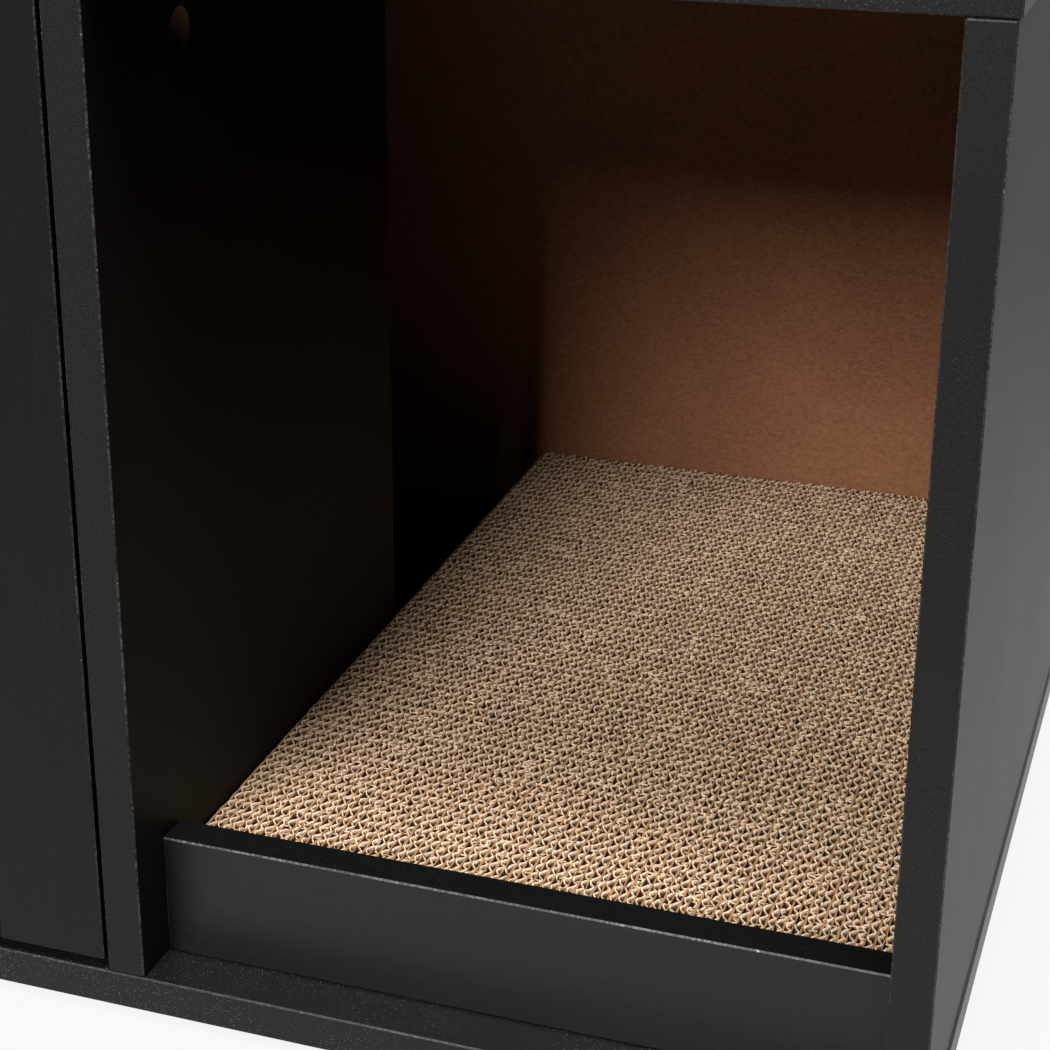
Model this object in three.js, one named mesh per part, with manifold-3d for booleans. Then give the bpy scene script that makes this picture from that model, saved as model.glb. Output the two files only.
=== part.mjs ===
// Cat litter box cabinet: an open entry with a corrugated scratching pad on the right, and a litter bay
// behind two inset doors on the left. The divider between them stops short of the back, so that the cat
// walks round it. Millimetres, +Z up, front towards -Y, +X to the right. The origin is on the floor,
// under the middle of the bounding box.

import * as THREE from 'three';
import { mergeVertices } from 'three/addons/utils/BufferGeometryUtils.js';
import Module from 'manifold-3d';

const wasm = await Module();
wasm.setup();

// ---- Driving dimensions ------------------------------------------------------------------------

const cabinetWidth = 920; // across the base and top boards
const boardDepth = 500; // front to back, without the back sheet
const board = 15; // thickness of every laminated board
const endOverhang = 1; // the base and top boards stand this far past the side panels
const entryWidth = 280; // clear width of the open compartment
const clearHeight = 380; // from the base board to the top board
const dividerDepth = 265; // the rest of the depth is the way through to the litter bay
const thresholdHeight = 50;
const thresholdSetback = 21;
const backThickness = 3;
const glideHeight = 4; // the base board's height above the floor
const knobReach = 22; // from the doors' front face
const padHeight = 36.5;
const padBackGap = 3;
const stripCount = 42; // strips of board glued side by side in the scratching pad

const arris = 0.6; // chamfer along the edges of every board
const fit = 0.3; // gap between pieces that touch

const doorSideGap = 1.8;
const doorMeetingGap = 2.4;
const doorBottomGap = 4.5;
const doorTopGap = 2;
const stileWidth = 45;
const doorPanelThickness = 5;
const grooveDepth = 5; // in the stiles and rails, for the door panel
const tongueLength = 4.5; // on the rails' ends, and the panel's depth in its groove

const hingeInset = 70; // hinge centres from the door's top and bottom
const cupRadius = 17.5;
const cupEdgeDistance = 21.5; // cup centre from the door's edge
const cupWall = 0.9;
const cupFloorDepth = 12.2; // outside, from the door's back face
const pinFromSide = 15; // hinge pin from the face that carries the hinge
const pinFromFront = 5.8;
const pinRadius = 1;
const swing = 16.5; // room inside the swan neck for the edge of the door as it turns
const strap = 2; // thickness of the hinge arm's steel

const camRadius = 7.5;
const camDepth = 12.5;
const camFromEnd = 34; // side panels' cam bores, from the panel's top end
const dividerCamFromEnd = 31;
const camFromFront = 70; // and from the rear

// ---- Derived places ----------------------------------------------------------------------------

const floorTop = glideHeight + board; // upper face of the base board
const ceiling = floorTop + clearHeight; // lower face of the top board
const cabinetTop = ceiling + board;

const totalDepth = knobReach + boardDepth + fit + backThickness;
const front = knobReach - totalDepth / 2; // plane of the boards' front edges and the doors' faces
const rear = front + boardDepth;

const sideOuter = cabinetWidth / 2 - endOverhang;
const sideInner = sideOuter - board;
const dividerRight = sideInner - entryWidth;
const dividerLeft = dividerRight - board;
const litterWidth = dividerLeft + sideInner;

const doorWidth = (litterWidth - 2 * doorSideGap - doorMeetingGap) / 2;
const doorHeight = clearHeight - doorBottomGap - doorTopGap;
const doorCentre = floorTop + doorBottomGap + doorHeight / 2;
const hingeHeight = doorHeight / 2 - hingeInset; // above and below the door's centre

// ---- Materials ---------------------------------------------------------------------------------

const finish = (color, roughness, metalness = 0) =>
  new THREE.MeshStandardMaterial({ color, roughness, metalness });

const materials = {
  laminate: finish(0x1d1d1e, 0.5),
  hardboard: finish(0x7a5233, 0.85),
  cardboard: finish(0xb8956b, 0.95),
  beech: finish(0xcaa273, 0.8),
  blackMetal: finish(0x17171a, 0.4, 0.6),
  steel: finish(0xa9abad, 0.35, 1),
  zinc: finish(0x9b9c9f, 0.5, 1),
  plastic: finish(0x232325, 0.55),
  magnet: finish(0x4a4a4c, 0.6, 0.4),
};

// ---- Solids ------------------------------------------------------------------------------------

// A closed geometry as a solid that can be joined and cut.
function solid(geometry) {
  const bare = new THREE.BufferGeometry().setAttribute('position', geometry.getAttribute('position'));
  if (geometry.index) bare.setIndex(geometry.index);
  const merged = mergeVertices(bare, 1e-4);
  const corners = [];
  for (let i = 0; i < merged.index.count; i += 3) {
    const [a, b, c] = [0, 1, 2].map((k) => merged.index.getX(i + k));
    if (a !== b && b !== c && c !== a) corners.push(a, b, c);
  }
  return new wasm.Manifold(new wasm.Mesh({
    numProp: 3,
    vertProperties: Float32Array.from(merged.getAttribute('position').array),
    triVerts: Uint32Array.from(corners),
  }));
}

function geometryOf(manifold) {
  const { vertProperties, triVerts } = manifold.getMesh();
  const indexed = new THREE.BufferGeometry();
  indexed.setAttribute('position', new THREE.BufferAttribute(vertProperties, 3));
  indexed.setIndex(new THREE.BufferAttribute(triVerts, 1));
  const flat = indexed.toNonIndexed();
  flat.computeVertexNormals();
  return flat;
}

const join = (first, ...rest) => rest.reduce((whole, piece) => whole.add(piece), first);
const cut = (first, ...tools) => tools.reduce((whole, tool) => whole.subtract(tool), first);

// A plain block between two values along each axis.
function block([x0, x1], [y0, y1], [z0, z1]) {
  const box = new THREE.BoxGeometry(x1 - x0, y1 - y0, z1 - z0);
  return solid(box.translate((x0 + x1) / 2, (y0 + y1) / 2, (z0 + z1) / 2));
}

// A block with all twelve edges chamfered.
function boardBlock([x0, x1], [y0, y1], [z0, z1], chamfer = arris) {
  const outline = new THREE.Shape([
    [x0 + chamfer, y0], [x1 - chamfer, y0], [x1, y0 + chamfer], [x1, y1 - chamfer],
    [x1 - chamfer, y1], [x0 + chamfer, y1], [x0, y1 - chamfer], [x0, y0 + chamfer],
  ].map(([x, y]) => new THREE.Vector2(x, y)));
  const geometry = new THREE.ExtrudeGeometry(outline, {
    depth: z1 - z0 - 2 * chamfer,
    bevelThickness: chamfer,
    bevelSize: chamfer,
    bevelOffset: -chamfer,
    bevelSegments: 1,
  });
  return solid(geometry.translate(0, 0, z0 + chamfer));
}

// An outline in X and Y, extruded by the same amount above and below z.
function slab(outline, halfThickness, z = 0) {
  const geometry = new THREE.ExtrudeGeometry(outline, {
    depth: 2 * halfThickness,
    bevelEnabled: false,
    curveSegments: 5,
  });
  return solid(geometry.translate(0, 0, z - halfThickness));
}

// A profile of [radius, height] points turned about an axis that runs along x, y or z through a point.
function turned(profile, axis, [x, y, z] = [0, 0, 0], segments = 24) {
  const geometry = new THREE.LatheGeometry(profile.map(([r, h]) => new THREE.Vector2(r, h)), segments);
  if (axis === 'x') geometry.rotateZ(-Math.PI / 2);
  if (axis === 'z') geometry.rotateX(Math.PI / 2);
  return solid(geometry.translate(x, y, z));
}

// A round bar or hole from one height to another along its axis.
const round = (radius, from, to, axis, point, segments) =>
  turned([[0, from], [radius, from], [radius, to], [0, to]], axis, point, segments);

// ---- Assembly ----------------------------------------------------------------------------------

const cabinet = new THREE.Group();

function place(parent, name, manifold, material) {
  const mesh = new THREE.Mesh(geometryOf(manifold), material);
  mesh.name = name;
  parent.add(mesh);
  return mesh;
}

// ---- Carcass boards ----------------------------------------------------------------------------

const sidePanels = { left: -1, right: 1 }; // name and direction of its outer face

const camHeights = { side: ceiling - camFromEnd, divider: ceiling - dividerCamFromEnd };
const camDepths = {
  side: [front + camFromFront, rear - camFromFront],
  divider: [front + camFromFront, front + dividerDepth - camFromFront],
};
const camBoltThread = 10.5;

// Bore for a cam lock in an inner face, with the channel for its bolt down from the panel's top end.
function camBore(face, inwards, y, z) {
  const depths = [-1, camDepth].map((d) => d * inwards).sort((a, b) => a - b);
  const middle = face + (inwards * board) / 2;
  const channel = round(4, 0, ceiling - z, 'z', [middle, y, z], 12);
  return join(round(camRadius, ...depths, 'x', [face, y, z]), channel);
}

// Through hole in the base board for a screw that holds an upright, countersunk from below.
const screwHole = (x, y) => turned([
  [0, -1], [5.2, -1], [5.2, 0.2], [3.5, 2.7], [3.5, board + 1], [0, board + 1],
], 'z', [x, y, glideHeight], 12);

const screwDepths = {
  side: [front + 60, rear - 60],
  divider: [front + 50, front + dividerDepth - 50],
};

// One hole for each fitting, on the middle line of each upright.
const alongUprights = (depths, hole) => [
  ...depths.side.map((y) => hole(-sideInner - board / 2, y)),
  ...depths.side.map((y) => hole(sideInner + board / 2, y)),
  ...depths.divider.map((y) => hole(dividerLeft + board / 2, y)),
];

const levelBoard = (z) =>
  boardBlock([-cabinetWidth / 2, cabinetWidth / 2], [front, rear], [z, z + board]);

const baseBoard = () => cut(levelBoard(glideHeight), ...alongUprights(screwDepths, screwHole));

function topBoard() {
  const pilot = (x, y) => round(3.3, -1, camBoltThread + 0.5, 'z', [x, y, ceiling], 12);
  return cut(levelBoard(ceiling), ...alongUprights(camDepths, pilot));
}

const dowelRadius = 4;
const dowelInSide = 9.5; // length of each threshold dowel inside the upright
const dowelLength = 24;
const dowelPoint = [front + thresholdSetback + board / 2, floorTop + thresholdHeight / 2];

// Blind hole along x for a threshold dowel, from -1 to a depth on the inwards side of a face.
function dowelHole(face, inwards, depth) {
  const ends = [-inwards, inwards * depth].sort((a, b) => a - b);
  return round(dowelRadius + fit, ...ends, 'x', [face, ...dowelPoint], 12);
}

function sidePanel(out) {
  const xs = [out * sideInner, out * sideOuter].sort((a, b) => a - b);
  const bores = camDepths.side.map((y) => camBore(out * sideInner, out, y, camHeights.side));
  if (out > 0) bores.push(dowelHole(sideInner, 1, dowelInSide + fit));
  return cut(boardBlock(xs, [front, rear], [floorTop + fit, ceiling - fit]), ...bores);
}

// The divider's cam bores face the entry compartment, and its front bore stays empty.
function dividerPanel() {
  const ys = [front, front + dividerDepth];
  const whole = boardBlock([dividerLeft, dividerRight], ys, [floorTop + fit, ceiling - fit]);
  const bores = camDepths.divider.map((y) => camBore(dividerRight, -1, y, camHeights.divider));
  return cut(whole, ...bores, dowelHole(dividerRight, -1, dowelInSide + fit));
}

function thresholdBoard() {
  const ys = [front + thresholdSetback, front + thresholdSetback + board];
  const [x0, x1] = [dividerRight + fit, sideInner - fit];
  const whole = boardBlock([x0, x1], ys, [floorTop + fit, floorTop + thresholdHeight]);
  const depth = dowelLength - dowelInSide + fit;
  return cut(whole, dowelHole(x0, 1, depth), dowelHole(x1, -1, depth));
}

function backSheet() {
  const edge = 1.5; // set in from the boards' ends
  const half = cabinetWidth / 2 - edge;
  const face = rear + fit;
  return block([-half, half], [face, face + backThickness], [glideHeight + edge, cabinetTop - edge]);
}

place(cabinet, 'base_board', baseBoard(), materials.laminate);
place(cabinet, 'top_board', topBoard(), materials.laminate);
for (const [side, out] of Object.entries(sidePanels)) {
  place(cabinet, `${side}_side_panel`, sidePanel(out), materials.laminate);
}
place(cabinet, 'divider_panel', dividerPanel(), materials.laminate);
place(cabinet, 'threshold_board', thresholdBoard(), materials.laminate);
place(cabinet, 'back_sheet', backSheet(), materials.hardboard);

// ---- Carcass fittings --------------------------------------------------------------------------

function thresholdDowel(x, inwards) {
  const half = dowelLength / 2;
  const profile = [
    [0, -half], [2.9, -half], [dowelRadius, 1.5 - half], [dowelRadius, half - 1.5], [2.9, half], [0, half],
  ];
  return turned(profile, 'x', [x - inwards * (half - dowelInSide), ...dowelPoint], 12);
}

// Cam lock: a zinc drum with a driver cross in its face at x = 0, and a pocket for the bolt's head.
function camLock() {
  const drum = round(camRadius - fit, 0, camDepth - fit, 'x', [0, 0, 0], 24);
  const slots = [block([-1, 2], [-4.5, 4.5], [-0.8, 0.8]), block([-1, 2], [-0.8, 0.8], [-4.5, 4.5])];
  const pocket = round(3.9, -3.4, camRadius + 1, 'z', [board / 2, 0, 0], 12);
  return cut(drum, ...slots, pocket);
}

// Bolt that screws into the top board and hangs down into the cam lock at height z.
function camBolt(x, y, z) {
  const top = ceiling + camBoltThread - z;
  return turned([
    [0, -2.6], [2.4, -2.6], [3.3, -1.7], [3.3, 0.8], [1.9, 2.2], [1.9, 7], [2.9, 8.2],
    [2.9, top - 1], [2, top], [0, top],
  ], 'z', [x, y, z], 12);
}

// Nail-on glide with a rounded rim.
const glide = (x, y) => turned([
  [0, 0], [9.2, 0], [10.6, 0.6], [11, 1.6], [11, glideHeight - fit], [0, glideHeight - fit],
], 'z', [x, y, 0], 18);

place(cabinet, 'threshold_left_dowel', thresholdDowel(dividerRight, -1), materials.beech);
place(cabinet, 'threshold_right_dowel', thresholdDowel(sideInner, 1), materials.beech);

// Lock and bolt in the inner face of an upright, whose board lies on the `out` side of that face.
function placeCam(name, face, out, y, z) {
  const lock = place(cabinet, `${name}_cam_lock`, camLock(), materials.zinc);
  lock.position.set(face, y, z);
  lock.rotation.z = out > 0 ? 0 : Math.PI;
  place(cabinet, `${name}_cam_bolt`, camBolt(face + (out * board) / 2, y, z), materials.steel);
}

for (const [side, out] of Object.entries(sidePanels)) {
  ['front', 'rear'].forEach((end, i) =>
    placeCam(`${side}_${end}`, out * sideInner, out, camDepths.side[i], camHeights.side));
}
placeCam('divider_rear', dividerRight, -1, camDepths.divider[1], camHeights.divider);

const glideRows = { front: front + 32, rear: rear - 32 };
const glideColumns = {
  left: -cabinetWidth / 2 + 40,
  middle: dividerLeft + board / 2,
  right: cabinetWidth / 2 - 40,
};
for (const [row, y] of Object.entries(glideRows)) {
  for (const [column, x] of Object.entries(glideColumns)) {
    place(cabinet, `${row}_${column}_glide`, glide(x, y), materials.plastic);
  }
}

// ---- Scratching pad ----------------------------------------------------------------------------

// Strips of corrugated board on edge, front to back, with a small groove where two meet.
function scratchPad() {
  const clearance = 0.5;
  const [x0, x1] = [dividerRight + clearance, sideInner - clearance];
  const [y0, y1] = [front + thresholdSetback + board + clearance, rear - padBackGap];
  const pitch = (x1 - x0) / stripCount;
  const outline = new THREE.Shape();
  outline.moveTo(x0, 0).lineTo(x1, 0);
  for (let i = stripCount; i > 0; i -= 1) {
    const right = x0 + i * pitch;
    outline.lineTo(right, padHeight - 1.2);
    outline.lineTo(right - 0.5, padHeight);
    outline.lineTo(right - pitch + 0.5, padHeight);
  }
  outline.lineTo(x0, padHeight - 1.2);
  const geometry = new THREE.ExtrudeGeometry(outline, { depth: y1 - y0, bevelEnabled: false });
  return solid(geometry.rotateX(Math.PI / 2).translate(0, y1, floorTop + fit));
}

place(cabinet, 'scratch_pad', scratchPad(), materials.cardboard);

// ---- Doors -------------------------------------------------------------------------------------

// A door is made for a hinge face on its left: x runs from that face across the opening, y from the
// front plane inwards, and z from the middle of the door. The right-hand door is turned half a turn
// about y, so its parts are alike above and below the middle.

const doorStart = doorSideGap;
const doorEnd = doorSideGap + doorWidth;
const halfHeight = doorHeight / 2;
const grooveFront = (board - doorPanelThickness) / 2 - fit;
const grooveBack = (board + doorPanelThickness) / 2 + fit;
const railEnds = [doorStart + stileWidth + fit, doorEnd - stileWidth - fit];

const cupCentre = doorStart + cupEdgeDistance;

function stile([x0, x1], innerEdge) {
  const towards = innerEdge > (x0 + x1) / 2 ? -1 : 1;
  const groove = [innerEdge + towards * grooveDepth, innerEdge - towards].sort((a, b) => a - b);
  const whole = boardBlock([x0, x1], [0, board], [-halfHeight, halfHeight]);
  return cut(whole, block(groove, [grooveFront, grooveBack], [-halfHeight - 1, halfHeight + 1]));
}

// Hinge stile with the two blind bores for the hinge cups.
function hingeStile() {
  const bore = (z) =>
    round(cupRadius + fit, board - cupFloorDepth - fit, board + 1, 'y', [cupCentre, 0, z], 28);
  const bores = [-hingeHeight, hingeHeight].map(bore);
  return cut(stile([doorStart, doorStart + stileWidth], doorStart + stileWidth), ...bores);
}

const meetingStile = () => stile([doorEnd - stileWidth, doorEnd], doorEnd - stileWidth);

const tongueEnds = [railEnds[0] - tongueLength, railEnds[1] + tongueLength];
const tongueFaces = [grooveFront + fit, grooveBack - fit];

// Rail with its tongues, on the side of the door's middle that `end` points to.
function rail(end) {
  const zs = (low, high) => [end * low, end * high].sort((a, b) => a - b);
  const inner = halfHeight - stileWidth;
  const main = boardBlock(railEnds, [0, board], zs(inner, halfHeight));
  const tongues = block(tongueEnds, tongueFaces, zs(inner + grooveDepth, halfHeight - 1));
  const pastEnds = [tongueEnds[0] - 1, tongueEnds[1] + 1];
  const groove = block(pastEnds, [grooveFront, grooveBack], zs(inner - 1, inner + grooveDepth));
  return cut(join(main, tongues), groove);
}

function doorPanel() {
  const half = halfHeight - stileWidth + tongueLength;
  return block(tongueEnds, tongueFaces, [-half, half]);
}

// Round knob in front of the meeting stile.
const knob = () => turned([
  [0, -knobReach], [8, -knobReach], [12, -21.2], [14, -19.2], [14.4, -17], [13.4, -14.6], [9.5, -12.2],
  [6.4, -9.5], [5.6, -6.5], [6.4, -3.6], [8.6, -2.2], [9, -fit], [0, -fit],
], 'y', [doorEnd - stileWidth / 2, 0, 0], 24);

// ---- Hinges: a cup let into the door, a pin across it, and a swan-neck arm on a plate ------------

function hingeCup(z) {
  const bottom = board - cupFloorDepth;
  const brim = board + fit + 1.2;
  const inner = cupRadius - cupWall;
  const shell = turned([
    [0, bottom], [cupRadius - 1.2, bottom], [cupRadius, bottom + 1.2],
    [cupRadius, brim - 0.4], [0, brim - 0.4],
  ], 'y', [cupCentre, 0, z], 28);
  const flange = round(20, board + fit, brim, 'y', [cupCentre, 0, z], 28);
  const wing = new THREE.Shape();
  wing.absarc(0, 24, 7, 0, Math.PI).absarc(0, -24, 7, Math.PI, 2 * Math.PI);
  const wingPlate = new THREE.ExtrudeGeometry(wing, { depth: 1.2, bevelEnabled: false, curveSegments: 6 });
  const wings = solid(wingPlate.rotateX(Math.PI / 2).translate(cupCentre, brim, z));
  const hollow = round(inner, bottom + 0.8, brim + 1, 'y', [cupCentre, 0, z], 28);
  const screws = [-24, 24].map((dz) => round(2, board - 1, brim + 1, 'y', [cupCentre, 0, z + dz], 10));
  const pinHole = round(pinRadius + 0.25, -15.8, 15.8, 'z', [pinFromSide, pinFromFront, z], 8);
  return cut(join(shell, flange, wings), hollow, ...screws, pinHole);
}

const hingePin = (z) => round(pinRadius, -14.9, 14.9, 'z', [pinFromSide, pinFromFront, z], 10);

const neckOuter = pinFromSide + swing; // inner side of the neck's far run
const neckBack = pinFromFront + swing; // front side of the neck's return run
const armFace = 7.3; // the arm's back run, from the face that carries the hinge
const armEnd = 82;

// The arm: from its eye on the pin it runs along the cup's floor, turns out of the mouth of the cup,
// comes back behind the edge of the door and lies along the plate.
function hingeArm(z) {
  const eye = pinRadius + 0.9;
  const bend = 1.6;
  const quarter = Math.PI / 2;
  const neck = new THREE.Shape();
  neck.moveTo(pinFromSide, pinFromFront - 1);
  neck.lineTo(neckOuter + strap - bend, pinFromFront - 1);
  neck.absarc(neckOuter + strap - bend, pinFromFront - 1 + bend, bend, -quarter, 0);
  neck.lineTo(neckOuter + strap, neckBack + strap - bend);
  neck.absarc(neckOuter + strap - bend, neckBack + strap - bend, bend, 0, quarter);
  neck.lineTo(armFace + strap + bend, neckBack + strap);
  neck.absarc(armFace + strap + bend, neckBack + strap + bend, bend, -quarter, Math.PI, true);
  neck.lineTo(armFace + strap, armEnd);
  neck.lineTo(armFace, armEnd);
  neck.lineTo(armFace, neckBack + bend);
  neck.absarc(armFace + bend, neckBack + bend, bend, Math.PI, 3 * quarter);
  neck.lineTo(neckOuter, neckBack);
  neck.lineTo(neckOuter, pinFromFront + 1);
  neck.lineTo(pinFromSide, pinFromFront + 1);
  const knuckle = round(eye, -5.5, 5.5, 'z', [pinFromSide, pinFromFront, z], 16);
  const pinHole = round(pinRadius + 0.2, -6, 6, 'z', [pinFromSide, pinFromFront, z], 10);
  const cheeks = cut(
    block([3.6, armFace + strap], [34, armEnd], [z - 7.4, z + 7.4]),
    block([3, armFace], [33, armEnd + 1], [z - 5.9, z + 5.9]),
  );
  const slot = block([0, 20], [60, 68], [z - 2.2, z + 2.2]); // for the clamping screw
  return cut(join(slab(neck, 5.5, z), knuckle, cheeks), pinHole, slot);
}

// Cross-shaped mounting plate with a raised rib that the arm sits over.
function hingePlate(z) {
  const foot = new THREE.Shape();
  foot.absarc(0, 16, 8, 0, Math.PI).absarc(0, -16, 8, Math.PI, 2 * Math.PI);
  const footPlate = new THREE.ExtrudeGeometry(foot, { depth: 2.2, bevelEnabled: false, curveSegments: 6 });
  const cross = solid(footPlate.rotateX(Math.PI / 2).rotateZ(Math.PI / 2).translate(fit, 52, z));
  const rib = block([fit, armFace - fit], [36, 78], [z - 5.5, z + 5.5]);
  const screws = [-16, 16].map((dz) => round(2.6, 0, 4, 'x', [0, 52, z + dz], 12));
  const clampHole = round(2, 2, 10, 'x', [0, 64, z], 12);
  return cut(join(cross, rib), ...screws, clampHole);
}

// ---- Catches: a magnet under the top board and a steel plate on the door ------------------------

const strikeThickness = 1.2;
const strikeBack = board + fit + strikeThickness;
const catchHeight = 13;

function strikePlate(z) {
  const middle = doorEnd - stileWidth / 2;
  const plate = boardBlock([middle - 13, middle + 13], [board + fit, strikeBack], [z - 5.5, z + 5.5], 0.3);
  return cut(plate, round(1.8, board - 1, strikeBack + 1, 'y', [middle, 0, z], 12));
}

const catchFront = front + strikeBack + fit;
const catchUnderside = ceiling - fit - catchHeight;
const magnetSize = [16, 9, 5];
const magnetCentre = catchUnderside + 6;

// Housing with a foot that takes two screws, and a pocket for the magnet in its front.
function catchHousing(x) {
  const top = ceiling - fit;
  const body = boardBlock([x - 12, x + 12], [catchFront + 0.6, catchFront + 16], [catchUnderside, top], 0.8);
  const foot = boardBlock([x - 21, x + 21], [catchFront + 3, catchFront + 14], [top - 2.5, top], 0.4);
  const [width, depth, height] = magnetSize.map((size) => size + 2 * fit);
  const pocket = block(
    [x - width / 2, x + width / 2],
    [catchFront, catchFront + depth],
    [magnetCentre - height / 2, magnetCentre + height / 2],
  );
  const screws = [-16.5, 16.5].map((dx) => round(1.8, -4, 1, 'z', [x + dx, catchFront + 8.5, top], 12));
  return cut(join(body, foot), pocket, ...screws);
}

function catchMagnet(x) {
  const [width, depth, height] = magnetSize;
  return boardBlock(
    [x - width / 2, x + width / 2],
    [catchFront, catchFront + depth],
    [magnetCentre - height / 2, magnetCentre + height / 2],
    0.4,
  );
}

// ---- The two doors and their hardware ------------------------------------------------------------

// The face that carries the hinges, and the way along x from it across the door. Half a turn about y
// reverses z as well, so `along` is also the way up in a door's own frame.
const doors = [
  { side: 'left', face: -sideInner, along: 1 },
  { side: 'right', face: dividerLeft, along: -1 },
];

for (const { side, face, along } of doors) {
  const [door, upright] = [new THREE.Group(), new THREE.Group()]; // what swings, and what stays
  for (const group of [door, upright]) {
    group.position.set(face, front, doorCentre);
    group.rotation.y = along > 0 ? 0 : Math.PI;
    cabinet.add(group);
  }

  const named = (piece) => `${side}_door_${piece}`;
  place(door, named('hinge_stile'), hingeStile(), materials.laminate);
  place(door, named('meeting_stile'), meetingStile(), materials.laminate);
  place(door, named('top_rail'), rail(along), materials.laminate);
  place(door, named('bottom_rail'), rail(-along), materials.laminate);
  place(door, named('panel'), doorPanel(), materials.laminate);
  place(door, named('knob'), knob(), materials.blackMetal);

  for (const [level, end] of [['upper', along], ['lower', -along]]) {
    const z = end * hingeHeight;
    place(door, named(`${level}_hinge_cup`), hingeCup(z), materials.steel);
    place(door, named(`${level}_hinge_pin`), hingePin(z), materials.steel);
    place(upright, named(`${level}_hinge_arm`), hingeArm(z), materials.steel);
    place(upright, named(`${level}_hinge_plate`), hingePlate(z), materials.steel);
  }

  const catchAbove = magnetCentre - doorCentre;
  place(door, named('strike_plate'), strikePlate(along * catchAbove), materials.steel);

  const catchX = face + along * (doorEnd - stileWidth / 2);
  place(cabinet, `${side}_catch_housing`, catchHousing(catchX), materials.plastic);
  place(cabinet, `${side}_catch_magnet`, catchMagnet(catchX), materials.magnet);
}

export default cabinet;
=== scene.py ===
import math

import bpy
import numpy as np
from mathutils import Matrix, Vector

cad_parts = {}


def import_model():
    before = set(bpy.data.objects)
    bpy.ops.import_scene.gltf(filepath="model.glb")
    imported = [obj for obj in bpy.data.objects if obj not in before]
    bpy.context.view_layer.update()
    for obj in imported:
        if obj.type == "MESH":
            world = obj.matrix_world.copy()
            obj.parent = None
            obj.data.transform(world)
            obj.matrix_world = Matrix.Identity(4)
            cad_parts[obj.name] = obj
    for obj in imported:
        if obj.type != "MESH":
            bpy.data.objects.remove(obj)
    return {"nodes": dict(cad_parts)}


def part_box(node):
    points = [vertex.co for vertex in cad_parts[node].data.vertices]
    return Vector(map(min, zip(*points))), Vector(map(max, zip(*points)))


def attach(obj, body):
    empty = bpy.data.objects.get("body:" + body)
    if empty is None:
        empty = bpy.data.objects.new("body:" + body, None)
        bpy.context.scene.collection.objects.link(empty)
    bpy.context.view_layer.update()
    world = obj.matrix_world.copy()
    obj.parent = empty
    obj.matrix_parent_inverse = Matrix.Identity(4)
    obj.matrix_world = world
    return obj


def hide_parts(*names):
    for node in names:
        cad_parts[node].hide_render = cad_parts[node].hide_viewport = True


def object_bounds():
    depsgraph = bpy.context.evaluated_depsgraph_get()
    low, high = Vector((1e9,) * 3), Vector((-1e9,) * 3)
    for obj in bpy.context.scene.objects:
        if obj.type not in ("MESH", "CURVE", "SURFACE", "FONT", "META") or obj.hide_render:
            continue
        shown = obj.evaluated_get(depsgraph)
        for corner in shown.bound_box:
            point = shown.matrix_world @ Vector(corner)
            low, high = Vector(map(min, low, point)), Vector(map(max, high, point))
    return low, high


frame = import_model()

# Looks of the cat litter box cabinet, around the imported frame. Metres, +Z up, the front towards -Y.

MM = 0.001
cad_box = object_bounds()
nodes = frame["nodes"]

# ---- Places, taken from the frame ----------------------------------------------------------------

DOORS = {"left": 1, "right": -1}  # the way along x from the hinges across each door
LEVELS = ("upper", "lower")

front_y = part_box("base_board")[0].y
ceiling_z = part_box("top_board")[0].z
bore_centre = Vector((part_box("divider_panel")[1].x, front_y + 70 * MM, ceiling_z - 31 * MM))
bore_radius = 7.55 * MM  # just past the bore's wall


def middle(name):
    low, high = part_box(name)
    return (low + high) / 2


# ---- Materials -----------------------------------------------------------------------------------

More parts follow.
